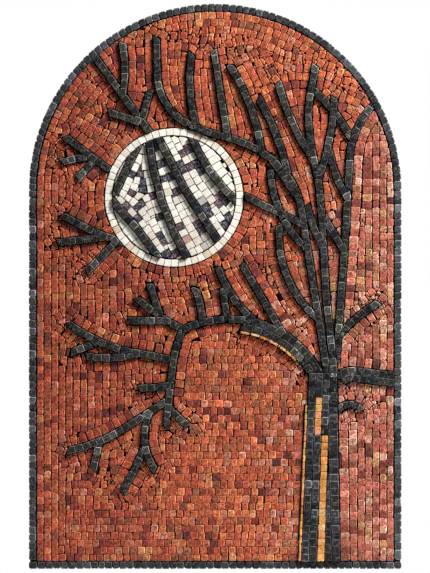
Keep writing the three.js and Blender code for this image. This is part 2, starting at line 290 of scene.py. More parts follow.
def sides_of(places, edges, reach):
    """The straight sides that bound each tessera: unit normals (places, sides, 2) and their distances.
    Between two neighbours the side stands halfway, square to the one of their mean axes that parts them more.
    A tessera of a straight row is cut to fit a course: there the side is the course's own, half a pitch from
    its middle. A stop, which fills a gap, fits the tesserae round it in the same way, but keeps its room.
    Along the outline the side is the outline itself, and round a corner that juts in it is square to the
    tessera's own axis. No tessera goes further than its rank's reach, along and across."""
    points, angles, ranks, room = places[:, :2], places[:, 2], places[:, 3].astype(int), places[:, 4]
    gap = points[None] - points[:, None]
    spread = (gap ** 2).sum(2)
    np.fill_diagonal(spread, np.inf)
    near = np.argpartition(spread, min(NEIGHBOURS, len(points) - 1), 1)[:, :NEIGHBOURS]
    rows = np.arange(len(points))[:, None]
    gap = gap[rows, near]
    fourfold = np.exp(4j * angles)
    ours, theirs = ranks[:, None] < ranks[near], ranks[:, None] > ranks[near]
    mean = np.angle(np.where(theirs, 0, fourfold[:, None]) + np.where(ours, 0, fourfold[near])) / 4
    first = np.stack([np.cos(mean), np.sin(mean)], 2)
    second = np.stack([-np.sin(mean), np.cos(mean)], 2)
    a, b = (gap * first).sum(2), (gap * second).sum(2)
    pick = np.abs(a) >= np.abs(b)
    normals = np.where(pick[..., None], first * np.sign(a)[..., None], second * np.sign(b)[..., None])
    apart = np.where(pick, np.abs(a), np.abs(b))
    far = reach.max(1)[ranks]
    later_far = np.where(ours, far[near], far[:, None])
    later_room = np.where(ours, room[near], room[:, None])
    earlier = np.minimum(np.maximum(apart - later_far, PITCH / 2), apart - later_room)
    distances = np.where(ours, earlier, np.where(theirs, apart - earlier, apart / 2))
    to_edge, along, depth = nearest_on(points, edges)
    close = np.argsort((to_edge ** 2).sum(2), 1)[:, :EDGES]
    to_edge, along, depth = to_edge[rows, close], along[rows, close], depth[rows, close]
    own = np.stack([np.cos(angles), np.sin(angles)], 1)[:, None]
    other = np.stack([-np.sin(angles), np.cos(angles)], 1)[:, None]
    a, b = (to_edge * own).sum(2), (to_edge * other).sum(2)
    pick = np.abs(a) >= np.abs(b)
    corner = np.where(pick[..., None], own * np.sign(a)[..., None], other * np.sign(b)[..., None])
    corner_gap = np.where(pick, np.abs(a), np.abs(b))
    faced = (along > -EDGE_SLACK) & (along < 1 + EDGE_SLACK)
    edge_normals = np.where(faced[..., None], -inward(edges)[close], corner)
    edge_gap = np.where(faced, depth, corner_gap)
    edge_gap = np.where(depth <= 0, np.inf, edge_gap)
    caps = np.stack([own, -own, other, -other], 2)[:, 0]
    cap_gap = np.repeat(reach[ranks], 2, 1)
    all_normals = np.concatenate([normals, edge_normals, caps], 1)
    return all_normals, np.concatenate([distances, edge_gap, cap_gap], 1)


LEAST_FACING = 1e-6


def radius_at(angles, normals, distances):
    """How far each tessera reaches from its place in each direction: the nearest of its sides that way."""
    ways = np.stack([np.cos(angles), np.sin(angles)], 2)
    facing = np.einsum("tak,tsk->tas", ways, normals)
    far = distances[:, None] / np.maximum(facing, LEAST_FACING)
    return np.min(np.where(facing > LEAST_FACING, far, np.inf), 2)


CORNER_WINDOW = 24


def corners_of(places, normals, distances):
    """The four corner directions of each tessera: the furthest point in each quarter of its own frame."""
    fine = (np.arange(4 * CORNER_WINDOW) + 0.5) * (math.pi / 2 / CORNER_WINDOW)
    angles = places[:, 2:3] + fine
    reach = radius_at(angles, normals, distances).reshape(len(places), 4, CORNER_WINDOW)
    best = reach.argmax(2)
    return np.take_along_axis(angles.reshape(len(places), 4, CORNER_WINDOW), best[..., None], 2)[..., 0]


def middle_of(places, normals, distances):
    """The centre of each tessera's four corners, to which it can be shifted to even out the joints."""
    angles = corners_of(places, normals, distances)
    reach = radius_at(angles, normals, distances)
    return places[:, :2] + np.stack([reach * np.cos(angles), reach * np.sin(angles)], 2).mean(1)


ALONG_OUTLINE = 0.8 * PITCH
ALIGNED_WITH = 9


def aligned(places, edges, rounds):
    """The places turned so that the rows flow smoothly into each other: the tesserae along the outline keep
    their angles, and the others take the mean of their neighbours' angles, where a quarter turn counts as
    no turn."""
    to_edge, _, _ = nearest_on(places[:, :2], edges)
    free = (to_edge ** 2).sum(2).min(1) > ALONG_OUTLINE ** 2
    spread = ((places[None, :, :2] - places[:, None, :2]) ** 2).sum(2)
    near = np.argpartition(spread, min(ALIGNED_WITH, len(places) - 1), 1)[:, :ALIGNED_WITH]
    fourfold = np.exp(4j * places[:, 2])
    for _ in range(rounds):
        mean = fourfold[near].mean(1)
        fourfold = np.where(free, mean / np.maximum(np.abs(mean), 1e-6), fourfold)
    places = places.copy()
    places[free, 2] = np.angle(fourfold[free]) / 4
    return places


def relaxed(places, edges, reach, rounds):
    """The places after some rounds of shifting each tessera of the courses halfway to its own middle."""
    places = places.copy()
    ours = places[:, 3] == COURSE
    for _ in range(rounds):
        normals, distances = sides_of(places, edges, reach)
        places[ours, :2] += 0.5 * (middle_of(places, normals, distances) - places[:, :2])[ours]
    return places


NEAREST = 8
BATCH = 2000


def beyond_all(points, places, normals, distances):
    """How far each point is outside the eight tesserae nearest to it: less than 0 inside one."""
    found = []
    for part in np.array_split(points, math.ceil(len(points) / BATCH)):
        spread = (part[:, :1] - places[:, 0]) ** 2 + (part[:, 1:] - places[:, 1]) ** 2
        near = np.argpartition(spread, min(NEAREST, len(places) - 1), 1)[:, :NEAREST]
        gap = part[:, None] - places[near, :2]
        beyond = np.einsum("pnk,pnsk->pns", gap, normals[near]) - distances[near]
        found.append(beyond.max(2).min(1))
    return np.concatenate(found)


GAP_GRID = 0.15 * PITCH
GAP_ANGLE = 0.3
FINE_GRID = GAP_GRID * np.array([-0.4, -0.2, 0.0, 0.2, 0.4])
STOPS_APART = 0.3 * PITCH
LEAST_ROOM = 1.6 * MM, 1.2 * MM, 0.95 * MM


def stopped(places, edges, reach):
    """The places with stops, smaller tesserae that fill the gaps left: points that no tessera covers, found
    on a grid and then on a finer one round each, those with the most room first. Each lies in line with its
    nearest neighbour. In an area with no tessera yet, the first stop is furthest from the outline."""
    grid = rows_across(edges, GAP_ANGLE, edges[0, 0], GAP_GRID)
    grid = grid[inside(grid[:, :2], edges)]
    if not len(places):
        to_edge = np.linalg.norm(nearest_on(grid[:, :2], edges)[0], axis=2)
        deepest = to_edge.min(1).argmax()
        along = heading_of(edges)[to_edge[deepest].argmin()]
        places = np.array([[*grid[deepest, :2], along, STOP, to_edge[deepest].min()]])
    fine = np.stack(np.meshgrid(FINE_GRID, FINE_GRID), 2).reshape(-1, 2)
    for least in LEAST_ROOM:
        sides = sides_of(places, edges, reach)
        loose = grid[beyond_all(grid[:, :2], places, *sides) > 0, :2]
        if not len(loose):
            break
        spots = (loose[:, None] + fine).reshape(-1, 2)
        room = beyond_all(spots, places, *sides)
        spots, room = spots[room > least], room[room > least]
        to_edge, _, _ = nearest_on(spots, edges)
        room = np.minimum(room, np.linalg.norm(to_edge, axis=2).min(1))
        spread = ((spots[:, None] - places[None, :, :2]) ** 2).sum(2)
        stops = np.column_stack([spots, places[spread.argmin(1), 2], room])[room > least]
        places = settle(stops[np.argsort(-stops[:, 3])], STOP, edges, places, STOPS_APART, 0.0)
    return places


RING = 12
LEAST_HALF = 0.8 * MM
LEAST_RADIUS = 0.6 * MM
CHIP_SHARE = 0.1
LIFT = 0.32 * MM
LEAN = 0.03
ROUGH_EDGE, ROUGH_TOP = 0.09 * MM, 0.1 * MM
EDGE_OF_RING = np.array([1.0, 0.85, 0.6, 0.1, 0.0])


def blocks(places, edges, reach, face, joints, wear, corner_cut, colours, level_wear=1.0, rim=0.0):
    """One closed block for each place. In plan it is a ring of twelve points: two at each corner, which cut
    it off, and one in the middle of each side. The ring is carried up from the bed to below the face, then
    in over a worn edge in two steps to the flat top, with a point in its middle. Each block is tilted and
    raised a little by chance. The rim is kept free along the outline. Returns points, faces, and each
    point's tint, edge value (which sets the rubbed edges and the painted shade in the joints) and grain
    number."""
    normals, distances = sides_of(places, edges, reach)
    distances[:, -EDGES - CAPS:-CAPS] -= rim
    shift = middle_of(places, normals, distances) - places[:, :2]
    places = np.column_stack([places[:, :2] + shift, places[:, 2]])
    distances = distances - np.einsum("tk,tsk->ts", shift, normals)
    level, upright = joints
    uneven = level + (upright - level) * normals[..., 0] ** 2
    uneven = uneven * (0.35 + 1.3 * chance.random(distances.shape) ** 2)
    distances = np.maximum(distances - uneven, LEAST_HALF)
    corners = np.sort(corners_of(places, normals, distances), 1)
    ahead = np.concatenate([corners[:, 1:], corners[:, :1] + 2 * math.pi], 1)
    cut = corner_cut * (0.5 + 1.6 * chance.random(corners.shape) ** 2)
    angles = np.stack([corners - cut, corners + cut, (corners + ahead) / 2], 2).reshape(-1, RING)
    radius = radius_at(angles, normals, distances)
    count = len(places)
    chip = np.where(chance.random(angles.shape) < CHIP_SHARE, chance.uniform(0.3, 0.9, angles.shape), 0)
    radius = np.maximum(radius - (chip + 0.12 * chance.random(angles.shape)) * wear, LEAST_RADIUS)
    worn = wear * chance.uniform(0.7, 1.3, (count, 1))
    lift = face + LIFT * chance.uniform(-1, 1, (count, 1))
    lean = LEAN * chance.normal(size=(count, 2))
    insets = [-0.25 * worn, 0 * worn, -0.6 * worn, -1.3 * worn]
    drops = [None, 1.5 * worn, 0.4 * worn, 0.05 * worn]
    rings = []
    rounding = level_wear + (1 - level_wear) * np.cos(angles) ** 2
    for inset, drop in zip(insets, drops):
        far = np.maximum(radius + inset * rounding, 0.35 * radius)
        x, z = far * np.cos(angles), far * np.sin(angles)
        tilt = lean[:, :1] * x + lean[:, 1:] * z
        rough = ROUGH_EDGE * chance.normal(size=x.shape)
        up = np.full_like(x, bed) if drop is None else lift - drop + tilt + rough
        rings.append(np.stack([places[:, :1] + x, -up, places[:, 1:2] + z], 2))
    top = lift[:, 0] + ROUGH_TOP * chance.normal(size=count)
    middle = np.column_stack([places[:, 0], -top, places[:, 1]])
    points = np.concatenate([*rings, middle[:, None]], 1)
    size = 4 * RING + 1
    k = np.arange(RING)
    n = (k + 1) % RING
    walls = [np.stack([k, n, n + RING, k + RING], 1) + i * RING for i in range(3)]
    first = np.arange(count) * size
    quads = (np.concatenate(walls)[None] + first[:, None, None]).reshape(-1, 4)
    fan = np.stack([3 * RING + k, 3 * RING + n, np.full(RING, 4 * RING)], 1)
    fans = (fan[None] + first[:, None, None]).reshape(-1, 3)
    floors = k[::-1][None] + first[:, None]
    faces = quads.tolist() + fans.tolist() + floors.tolist()
    edge = np.repeat(EDGE_OF_RING, [RING, RING, RING, RING, 1])
    tints = np.repeat(colours[:, None], size, 1)
    grain = np.repeat(chance.random(count)[:, None], size, 1)
    return points.reshape(-1, 3), faces, tints.reshape(-1, 3), np.tile(edge, count), grain.reshape(-1)


def piece_of(name, parts, material, nodes):
    """A mesh object of all the blocks in parts, which stands for the named nodes."""
    offsets = np.cumsum([0] + [len(part[0]) for part in parts])
    points = np.concatenate([part[0] for part in parts])
    faces = [[int(i + start) for i in face] for part, start in zip(parts, offsets) for face in part[1]]
    mesh = bpy.data.meshes.new(name)
    mesh.from_pydata(points.tolist(), [], faces)
    tint = mesh.attributes.new("tint", "FLOAT_COLOR", "POINT")
    rgb = np.concatenate([part[2] for part in parts])
    tint.data.foreach_set("color", np.column_stack([rgb, np.ones(len(rgb))]).ravel())
    for label, column in (("edge", 3), ("grain", 4)):
        layer = mesh.attributes.new(label, "FLOAT", "POINT")
        layer.data.foreach_set("value", np.concatenate([part[column] for part in parts]))
    mesh.polygons.foreach_set("use_smooth", np.array([len(face) == 4 for face in faces]))
    mesh.materials.append(material)
    piece = bpy.data.objects.new(name, mesh)
    bpy.context.scene.collection.objects.link(piece)
    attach(piece, "root")
    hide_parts(*nodes)


def colour(red, green, blue):
    """A colour given from 0 to 255 as it looks, turned into the linear values that shaders use."""
    share = np.array([red, green, blue]) / 255
    return np.where(share <= 0.04045, share / 12.92, ((share + 0.055) / 1.055) ** 2.4)


HUE_SHARE = 0.15
DARKEST, LIGHTEST = 0.002, 0.95


def drawn(count, stones, spread):
    """A colour for each tessera: one of the stones, by their shares, made lighter or darker by chance."""
    shares = np.array([share for _, share in stones])
    table = np.array([colour(*rgb) for rgb, _ in stones])
    picked = table[chance.choice(len(stones), count, p=shares / shares.sum())]
    tone = np.exp(spread * chance.normal(size=(count, 1)))
    hue = 1 + HUE_SHARE * spread * chance.normal(size=(count, 3))
    return np.clip(picked * tone * hue, DARKEST, LIGHTEST)


def new_group(name, inputs, outputs):
    """An empty shader node group with the named sockets: returns the group, its input and its output node."""
    group = bpy.data.node_groups.new(name, "ShaderNodeTree")
    kinds = {"value": "NodeSocketFloat", "colour": "NodeSocketColor", "vector": "NodeSocketVector"}
    for label, kind in inputs:
        group.interface.new_socket(label, in_out="INPUT", socket_type=kinds[kind])
    for label, kind in outputs:
        group.interface.new_socket(label, in_out="OUTPUT", socket_type=kinds[kind])
    return group, group.nodes.new("NodeGroupInput"), group.nodes.new("NodeGroupOutput")


def feed(tree, socket, value):
    """Links another node's output to a socket, or sets the socket to a plain value."""
    if isinstance(value, bpy.types.NodeSocket):
        tree.links.new(value, socket)
    else:
        socket.default_value = value


def math_node(tree, operation, first, second):
    node = tree.nodes.new("ShaderNodeMath")
    node.operation = operation
    feed(tree, node.inputs[0], first)
    feed(tree, node.inputs[1], second)
    return node.outputs[0]


def noise_node(tree, place, number, scale, detail, roughness=0.6):
    node = tree.nodes.new("ShaderNodeTexNoise")
    node.noise_dimensions = "4D"
    node.inputs["Detail"].default_value = detail
    node.inputs["Roughness"].default_value = roughness
    feed(tree, node.inputs["Vector"], place)
    feed(tree, node.inputs["W"], number)
    feed(tree, node.inputs["Scale"], scale)
    return node.outputs["Fac"]


def mixed(tree, share, first, second):
    node = tree.nodes.new("ShaderNodeMix")
    node.data_type = "RGBA"
    for socket, value in ((node.inputs[0], share), (node.inputs[6], first), (node.inputs[7], second)):
        feed(tree, socket, value)
    return node.outputs[2]


def ranged(tree, value, low, high, to_low, to_high):
    node = tree.nodes.new("ShaderNodeMapRange")
    for label, number in (("From Min", low), ("From Max", high), ("To Min", to_low), ("To Max", to_high)):
        node.inputs[label].default_value = number
    feed(tree, node.inputs["Value"], value)
    return node.outputs["Result"]


# Cut stone, for every tessera: each has its own cloudy grain with pale blooms, dark spots and veins, and
# edges rubbed pale. Its sides are coloured near black where they go down into the joints: painted shade.
# Painted shade: below these depths the sides of every tessera are coloured nearly black, in the joints and
# round the feet of the tall tree stones.
JOINT_SHADE_FROM, JOINT_SHADE_TO = -10.8 * MM, -9.6 * MM
JOINT_SHADE = (0.012, 0.01, 0.009, 1)
GRAIN_SPREAD = 80.0
cut_stone, given, out = new_group(
    "cut_stone",
    [("Tint", "colour"), ("Edge", "value"), ("Grain", "value"), ("Cloud", "value"), ("Edge Gain", "vector"),
     ("Edge Wear", "value"), ("Bloom Gain", "vector"), ("Bloom", "value"), ("Spots", "value"),
     ("Veins", "value"), ("Vein Colour", "colour")],
    [("Color", "colour"), ("Roughness", "value"), ("Height", "value")],
)
place = cut_stone.nodes.new("ShaderNodeTexCoord").outputs["Object"]
number = math_node(cut_stone, "MULTIPLY", given.outputs["Grain"], GRAIN_SPREAD)
cloud = noise_node(cut_stone, place, number, scale=210.0, detail=4.0)
speck = noise_node(cut_stone, place, number, scale=700.0, detail=3.0, roughness=0.7)
broad, fine = ranged(cut_stone, cloud, 0.3, 0.7, -1.0, 1.0), ranged(cut_stone, speck, 0.3, 0.7, -1.2, 1.2)
swing, fine_swing = (math_node(cut_stone, "MULTIPLY", given.outputs["Cloud"], wave) for wave in (broad, fine))
tone = math_node(cut_stone, "ADD", math_node(cut_stone, "ADD", swing, fine_swing), 1.0)
shade = cut_stone.nodes.new("ShaderNodeVectorMath")
shade.operation = "SCALE"
cut_stone.links.new(given.outputs["Tint"], shade.inputs[0])
cut_stone.links.new(tone, shade.inputs["Scale"])
vein_noise = noise_node(cut_stone, place, number, scale=90.0, detail=2.0, roughness=0.5)
vein_line = math_node(cut_stone, "ABSOLUTE", math_node(cut_stone, "SUBTRACT", vein_noise, 0.5), 0.0)
vein_mask = math_node(
    cut_stone, "MULTIPLY", ranged(cut_stone, vein_line, 0.0, 0.012, 1.0, 0.0), given.outputs["Veins"])
spot_noise = noise_node(cut_stone, place, number, scale=480.0, detail=1.0, roughness=0.5)
spot_mask = math_node(
    cut_stone, "MULTIPLY", ranged(cut_stone, spot_noise, 0.56, 0.68, 0.0, 1.0), given.outputs["Spots"])
marked = math_node(cut_stone, "MAXIMUM", vein_mask, spot_mask)
bloom_noise = noise_node(cut_stone, place, number, scale=310.0, detail=3.0)
bloom_mask = math_node(
    cut_stone, "MULTIPLY", ranged(cut_stone, bloom_noise, 0.5, 0.62, 0.0, 1.0), given.outputs["Bloom"])
bloom_rgb, edge_rgb = (cut_stone.nodes.new("ShaderNodeVectorMath") for _ in range(2))
for lit, gain in ((bloom_rgb, "Bloom Gain"), (edge_rgb, "Edge Gain")):
    lit.operation = "MULTIPLY"
    cut_stone.links.new(given.outputs["Tint"], lit.inputs[0])
    cut_stone.links.new(given.outputs[gain], lit.inputs[1])
bloomed = mixed(cut_stone, bloom_mask, shade.outputs[0], bloom_rgb.outputs[0])
veined = mixed(cut_stone, marked, bloomed, given.outputs["Vein Colour"])
rub_noise = noise_node(cut_stone, place, number, scale=260.0, detail=3.0)
patchy = ranged(cut_stone, rub_noise, 0.38, 0.6, 0.0, 1.0)
rub = math_node(cut_stone, "MULTIPLY", patchy, given.outputs["Edge Wear"])
near_edge = ranged(cut_stone, given.outputs["Edge"], 0.15, 0.6, 0.0, 1.0)
rub_mask = math_node(cut_stone, "MULTIPLY", rub, near_edge)
rubbed = mixed(cut_stone, rub_mask, veined, edge_rgb.outputs[0])
depth = cut_stone.nodes.new("ShaderNodeSeparateXYZ")
cut_stone.links.new(place, depth.inputs[0])
sunk = ranged(cut_stone, depth.outputs["Y"], JOINT_SHADE_FROM, JOINT_SHADE_TO, 0.0, 1.0)
# Painted shade in the joints: the sunk sides near each tessera's edge are mixed towards near black.
joint_shade_mask = math_node(cut_stone, "MULTIPLY", sunk, ranged(cut_stone, given.outputs["Edge"], 0.6, 0.8, 0.0, 0.9))
joint_shaded = mixed(cut_stone, joint_shade_mask, rubbed, JOINT_SHADE)
pit = ranged(cut_stone, speck, 0.56, 0.68, 0.0, 1.0)
cut_stone.links.new(joint_shaded, out.inputs["Color"])
cut_stone.links.new(ranged(cut_stone, cloud, 0.3, 0.7, 0.55, 0.8), out.inputs["Roughness"])
cut_stone.links.new(math_node(cut_stone, "SUBTRACT", cloud, pit), out.inputs["Height"])


def stone(name, cloud, edge_gain, edge_wear, bloom_gain, bloom, spots, veins, vein_rgb):
    """A material of cut stone, whose tint, edge and grain number come from the tesserae. The gains say how
    many times as bright as the tint the rubbed edges and the blooms are, in red, green and blue."""
    material = bpy.data.materials.new(name)
    material.use_nodes = True
    tree = material.node_tree
    surface = tree.nodes["Principled BSDF"]
    grain = tree.nodes.new("ShaderNodeGroup")
    grain.node_tree = cut_stone
    for label, output in (("tint", "Color"), ("edge", "Fac"), ("grain", "Fac")):
        layer = tree.nodes.new("ShaderNodeAttribute")
        layer.attribute_name = label
        tree.links.new(layer.outputs[output], grain.inputs[label.capitalize()])
    for label, value in (
        ("Cloud", cloud), ("Edge Gain", edge_gain), ("Edge Wear", edge_wear), ("Bloom Gain", bloom_gain),
        ("Bloom", bloom), ("Spots", spots), ("Veins", veins), ("Vein Colour", (*colour(*vein_rgb), 1)),
    ):
        grain.inputs[label].default_value = value
    bump = tree.nodes.new("ShaderNodeBump")
    bump.inputs["Strength"].default_value = 0.35
    bump.inputs["Distance"].default_value = 0.25 * MM
    tree.links.new(grain.outputs["Color"], surface.inputs["Base Color"])
    tree.links.new(grain.outputs["Roughness"], surface.inputs["Roughness"])
    tree.links.new(grain.outputs["Height"], bump.inputs["Height"])
    tree.links.new(bump.outputs["Normal"], surface.inputs["Normal"])
    surface.inputs["Specular IOR Level"].default_value = 0.1
    return material


bed = -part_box("backing_sheet")[0][1]
flat_face = -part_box("border_foot")[0][1]
tree_face = -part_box("trunk_black_left")[0][1]
JOINTS = 0.18 * MM, 0.42 * MM
WORN = 0.7 * MM
CORNER_CUT = 0.09
ROW_APART = 0.8 * PITCH
ROW_CLEAR = 0.55
ROW_REACH = 0.75 * PITCH
ROW_ROUNDS = 4


def row_of(name, stones, spread, face, wear=WORN, corner_cut=CORNER_CUT, joints=JOINTS):
    """The tesserae of a run one tessera wide: laid along the outline, half the run's width in from it."""
    edges = outline_of(name)
    loops = loops_of(edges)
    around = sum(np.linalg.norm(loop[:, 1] - loop[:, 0], axis=1).sum() for loop in loops)
    cross = np.cross(edges[:, 0], edges[:, 1]).sum() / 2
    half = min(cross / around, PITCH / 2)
    places = np.empty((0, 5))
    for loop in loops:
        places = settle(course(loop, half, PITCH), COURSE, edges, places, ROW_APART, ROW_CLEAR * half)
    reach = np.full((STOP + 1, 2), ROW_REACH)
    places = stopped(relaxed(places, edges, reach, ROW_ROUNDS), edges, reach)
    colours = drawn(len(places), stones, spread)
    return blocks(places, edges, reach, face, joints, wear, corner_cut, colours)


BORDER_STONES = [((35, 36, 38), 0.5), ((43, 43, 43), 0.25), ((62, 62, 64), 0.15), ((27, 28, 31), 0.1)]
# Painted light and shade: one set of stones is made brighter along the right side, where the light comes
# from, and darker along the foot.
BORDER_PAINTED_LIGHT = {"border_foot": 0.72, "border_left": 1.0, "border_right": 1.85, "border_arch": 1.0}
BORDER_SPREAD = 0.25
TUMBLED = 0.8 * MM
TUMBLED_CUT = 0.13
GAMMA = 0.45
tumbled_marble = stone(
    "tumbled_marble", cloud=0.4, edge_gain=(8, 8, 8.2), edge_wear=1.2, bloom_gain=(2.2, 2.2, 2.25), bloom=0.5,
    spots=0.1, veins=0.5, vein_rgb=(128, 128, 130))
border_nodes = list(BORDER_PAINTED_LIGHT)
border_rows = []
for name, tone in BORDER_PAINTED_LIGHT.items():
    # Each side's stones are scaled by its painted light or painted shade.
    painted_lit_stones = [(tuple(tone ** GAMMA * np.array(rgb)), share) for rgb, share in BORDER_STONES]
    border_rows.append(row_of(name, painted_lit_stones, BORDER_SPREAD, flat_face, TUMBLED, TUMBLED_CUT))
piece_of("border_tesserae", border_rows, tumbled_marble, border_nodes)

# Trunk and boughs: rows of honed black marble, cut taller than the rest so that the tree stands proud.
# A bough is one row, and its twigs are cut to fit against it.
BLACK_STONES = [((32, 31, 29), 0.5), ((20, 20, 20), 0.27), ((50, 49, 47), 0.17), ((17, 19, 22), 0.06)]
TRUNK_STONES = [
    ((31, 31, 32), 0.42), ((19, 20, 21), 0.26), ((46, 45, 46), 0.17), ((62, 61, 62), 0.06),
    ((13, 15, 18), 0.09),
]
BLACK_SPREAD = 0.24
CRISP = 0.4 * MM
CRISP_CUT = 0.03
trunk_nodes = sorted(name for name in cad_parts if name.startswith("trunk_black"))
black_marble = stone(
    "black_marble", cloud=0.32, edge_gain=(18, 18, 18), edge_wear=1.9, bloom_gain=(2.2, 2.2, 2.2), bloom=0.16,
    spots=0.04, veins=0.5, vein_rgb=(140, 138, 134))
trunk_rows = [row_of(name, TRUNK_STONES, BLACK_SPREAD, tree_face, CRISP, CRISP_CUT) for name in trunk_nodes]
piece_of("trunk_tesserae", trunk_rows, black_marble, trunk_nodes)
BOUGH_ENDINGS = "bough", "spray", "twig", "second_row", "bough_1", "bough_2"
bough_nodes = sorted(
    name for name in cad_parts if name.startswith("moon_branch") or name.endswith(BOUGH_ENDINGS))
bough_rows = [row_of(name, BLACK_STONES, BLACK_SPREAD, tree_face, CRISP, CRISP_CUT) for name in bough_nodes]
piece_of("bough_tesserae", bough_rows, black_marble, bough_nodes)

# Gold stripe and slivers: honey-yellow marble, as tall as the tree's black stones, set in the trunk as a
# stripe of whole tesserae and along two edges as narrow slivers.
GOLD_STONES = [((198, 140, 72), 0.5), ((184, 118, 56), 0.25), ((208, 160, 98), 0.17), ((196, 124, 82), 0.08)]
GOLD_SPREAD = 0.12
gold_marble = stone(
    "gold_marble", cloud=0.4, edge_gain=(1.3, 1.7, 2.8), edge_wear=0.9, bloom_gain=(1.25, 1.6, 2.6),
    bloom=0.8, spots=0.6, veins=0.6, vein_rgb=(146, 84, 36))
gold_nodes = sorted(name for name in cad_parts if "gold" in name)
gold_rows = [row_of(name, GOLD_STONES, GOLD_SPREAD, tree_face) for name in gold_nodes]
piece_of("gold_tesserae", gold_rows, gold_marble, gold_nodes)

# Moon: a ring of ivory marble round areas of the same stone, with single plum, slate and grey tesserae
# among it. The rows run along the branches that cross it.
IVORY_STONES = [((220, 214, 202), 0.78), ((211, 200, 185), 0.16), ((196, 177, 157), 0.06)]
MOON_STONES = [
    ((220, 214, 202), 0.5), ((208, 198, 183), 0.2), ((172, 166, 160), 0.06), ((46, 47, 57), 0.14),
    ((74, 54, 62), 0.12), ((178, 130, 126), 0.02),
]
IVORY_SPREAD, MOON_SPREAD = 0.03, 0.05
ivory_marble = stone(
    "ivory_marble", cloud=0.09, edge_gain=(1.12, 1.13, 1.16), edge_wear=0.6, bloom_gain=(1.08, 1.1, 1.14),
    bloom=0.5, spots=0.2, veins=0.15, vein_rgb=(178, 154, 128))
veined_marble = stone(
    "veined_marble", cloud=0.12, edge_gain=(1.12, 1.13, 1.16), edge_wear=0.6, bloom_gain=(1.1, 1.12, 1.15),
    bloom=0.5, spots=0.55, veins=0.7, vein_rgb=(176, 170, 166))
HONED = 0.45 * MM
HONED_CUT = 0.05
MOON_JOINTS = 0.28 * MM, 0.28 * MM
SLIVER = 12
moon_row = [row_of("moon_rim", IVORY_STONES, IVORY_SPREAD, flat_face, HONED, HONED_CUT, MOON_JOINTS)]
piece_of("moon_rim_tesserae", moon_row, ivory_marble, ["moon_rim"])


FIELD_REACH = np.array([[0.9, 0.85], [1.2, 0.9], [0.55, 0.55]]) * PITCH
FIELD_RIM = 0.35 * MM
COURSE_APART, COURSE_CLEAR = 0.6 * PITCH, 0.3 * PITCH
ROWS_APART, ROWS_CLEAR = 0.62 * PITCH, 0.14 * PITCH
TURNING_ROUNDS, EVENING_ROUNDS = 4, 12


def filled(edges, courses, rows, stones_at, joints, wear, corner_cut, level_wear):
    """The tesserae of an area: courses first, which even out among themselves, then rows that are cut to fit
    them, then small ones in the gaps left."""
    places = np.empty((0, 5))
    for layer in courses:
        places = settle(layer, COURSE, edges, places, COURSE_APART, COURSE_CLEAR)
    if len(places):
        places = relaxed(aligned(places, edges, TURNING_ROUNDS), edges, FIELD_REACH, EVENING_ROUNDS)
    for layer in rows:
        places = settle(layer, ROW, edges, places, ROWS_APART, ROWS_CLEAR)
    places = stopped(places, edges, FIELD_REACH)
    colours = stones_at(places)
    return blocks(
        places, edges, FIELD_REACH, flat_face, joints, wear, corner_cut, colours, level_wear, FIELD_RIM)


def moon_colours(places):
    """Dark stones among the ivory ones in the wide areas, and ivory alone in the slivers beside the rim."""
    return drawn(len(places), MOON_STONES if len(places) > SLIVER else IVORY_STONES, MOON_SPREAD)


moon_low, moon_high = (np.array(corner)[[0, 2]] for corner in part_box("moon_rim"))
moon_centre = (moon_low + moon_high) / 2
moon_radius = (moon_high[0] - moon_low[0]) / 2
moon_nodes = sorted(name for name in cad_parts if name.startswith("moon_field"))
MOON_COURSES = 4
RIM_WIDTH = 1.4 * PITCH
moon_areas = []
for name in moon_nodes:
    edges = outline_of(name)
    layers = []
    for loop in loops_of(edges):
        along_branch = np.linalg.norm(loop.mean(1) - moon_centre, axis=1) < moon_radius - RIM_WIDTH
        runs = stretches(loop, along_branch)
        layers += [course(run, (i + 0.5) * PITCH, PITCH) for i in range(MOON_COURSES) for run in runs]
    moon_areas.append(filled(edges, layers, [], moon_colours, MOON_JOINTS, HONED, HONED_CUT, 1.0))
piece_of("moon_tesserae", moon_areas, veined_marble, moon_nodes)

# Red ground: tumbled red marble from orange to maroon, pinker on the right. Courses follow the tree and the
# moon, and rows the arch and the left side. The rest has upright rows, but level ones under the great bough
# and low on the left.
RED_STONES = [
    ((150, 65, 43), 0.34), ((160, 77, 49), 0.23), ((143, 59, 42), 0.16), ((112, 45, 37), 0.06),
    ((88, 38, 32), 0.02), ((124, 62, 43), 0.07), ((158, 84, 65), 0.07), ((164, 92, 58), 0.04),
]
PINK_STONES = [
    ((158, 83, 66), 0.3), ((149, 72, 57), 0.24), ((167, 101, 84), 0.16), ((130, 71, 52), 0.09),
    ((167, 106, 72), 0.05), ((112, 50, 41), 0.1), ((82, 41, 36), 0.02), ((175, 117, 97), 0.04),
]
PINK_FROM = 0.05
PINK_OVER = 0.12
CROWN_FROM = 0.1
CROWN_SHIFT = 0.8
LEFT_DARKENING = 0.86
LEFT_DARKENING_SPAN = 0.14
WARMTH = np.array([0.02, 0.1, 0.02])
RED_SPREAD = 0.14
red_marble = stone(
    "red_marble", cloud=0.55, edge_gain=(3.2, 5.4, 6.6), edge_wear=2.2, bloom_gain=(1.55, 2.3, 2.8),
    bloom=1.0, spots=0.8, veins=0.4, vein_rgb=(62, 24, 17))


